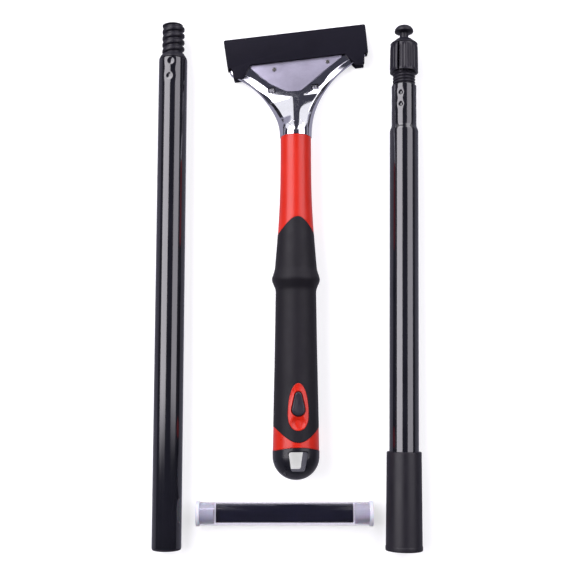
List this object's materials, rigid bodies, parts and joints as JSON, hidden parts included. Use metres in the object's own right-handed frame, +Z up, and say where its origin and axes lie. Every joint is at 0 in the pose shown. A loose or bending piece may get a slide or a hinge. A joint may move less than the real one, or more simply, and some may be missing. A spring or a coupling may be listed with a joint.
{
  "type": "long reach scraper set",
  "caption": "Hand scraper with a guarded wide blade and hollow two-material handle, laid out flat with its two extension poles and a capped tube of spare blades.",
  "frame": {"origin": "middle of the set's footprint, on the surface that it lies on", "axes": "+X to the right across the items, +Y from the butts of the poles to their heads, +Z up from the surface"},
  "size_m": [0.2028, 0.404, 0.0363],
  "materials": {
    "chrome": "bright chrome plate on a zinc casting",
    "satin_plate": "plated sheet, slightly satin",
    "blade_steel": "ground blade steel",
    "blade_dark": "blued blade steel",
    "screw_steel": "zinc plated",
    "pin_steel": "turned",
    "spring_steel": "spring wire",
    "red_plastic": "moulded, slightly glossy",
    "grip_rubber": "soft overmould, satin",
    "guard_black": "moulded, matte",
    "button_black": "moulded, satin",
    "cap_black": "moulded, slightly glossy",
    "catch_nylon": "natural nylon",
    "black_nylon": "moulded",
    "collar_black": "moulded, ribbed",
    "sleeve_black": "moulded, satin",
    "pole_paint": "gloss black enamel",
    "clear_plastic": "clear extruded tube",
    "frosted_plastic": "frosted soft plastic"
  },
  "bodies": {
    "scraper": {"head_body": "chrome", "clamp_plate": "satin_plate", "scraper_blade": "blade_steel", "clamp_screws": "screw_steel", "square_nuts": "screw_steel", "locating_pins": "pin_steel", "handle_core": "red_plastic", "grip_sleeve": "grip_rubber"},
    "guard": {"blade_guard": "guard_black"},
    "button": {"release_button": "button_black", "catch_ring": "catch_nylon", "button_spring": "spring_steel"},
    "cap": {"end_cap": "cap_black"},
    "threaded_pole": {"threaded_pole_tube": "pole_paint", "threaded_tip": "black_nylon", "threaded_pole_end_plug": "black_nylon"},
    "lock_pole": {"lock_pole_tube": "pole_paint", "lock_plug": "black_nylon", "connector_sleeve": "sleeve_black"},
    "collar": {"lock_collar": "collar_black"},
    "spare_tube": {"blade_tube": "clear_plastic", "spare_blades": "blade_dark"},
    "left_cap": {"tube_cap_left": "frosted_plastic"},
    "right_cap": {"tube_cap_right": "frosted_plastic"}
  },
  "joints": [
    {"name": "guard_slide", "type": "slide", "parent": "scraper", "child": "guard", "axis": [-0.121, 0.9927, 0], "range_m": [0, 0.035]},
    {"name": "button_press", "type": "slide", "parent": "scraper", "child": "button", "axis": [-0.1045, 0, -0.9945], "range_m": [0, 0.0022], "stiffness_N_per_m": 900, "springref_m": -0.001, "deforming": ["button_spring"]},
    {"name": "cap_pull", "type": "slide", "parent": "scraper", "child": "cap", "axis": [0, -1, 0], "range_m": [0, 0.0155]},
    {"name": "threaded_pole_lift", "type": "slide", "parent": "scraper", "child": "threaded_pole", "axis": [0, 0, 1], "range_m": [0, 0.1]},
    {"name": "lock_pole_lift", "type": "slide", "parent": "scraper", "child": "lock_pole", "axis": [0, 0, 1], "range_m": [0, 0.1]},
    {"name": "collar_run", "type": "slide", "parent": "lock_pole", "child": "collar", "axis": [-0.0136, -0.9999, 0.0073], "range_m": [0, 0.007]},
    {"name": "spare_tube_lift", "type": "slide", "parent": "scraper", "child": "spare_tube", "axis": [0, 0, 1], "range_m": [0, 0.1]},
    {"name": "left_cap_pull", "type": "slide", "parent": "spare_tube", "child": "left_cap", "axis": [-1, 0, 0], "range_m": [0, 0.008]},
    {"name": "right_cap_pull", "type": "slide", "parent": "spare_tube", "child": "right_cap", "axis": [1, 0, 0], "range_m": [0, 0.008]}
  ]
}
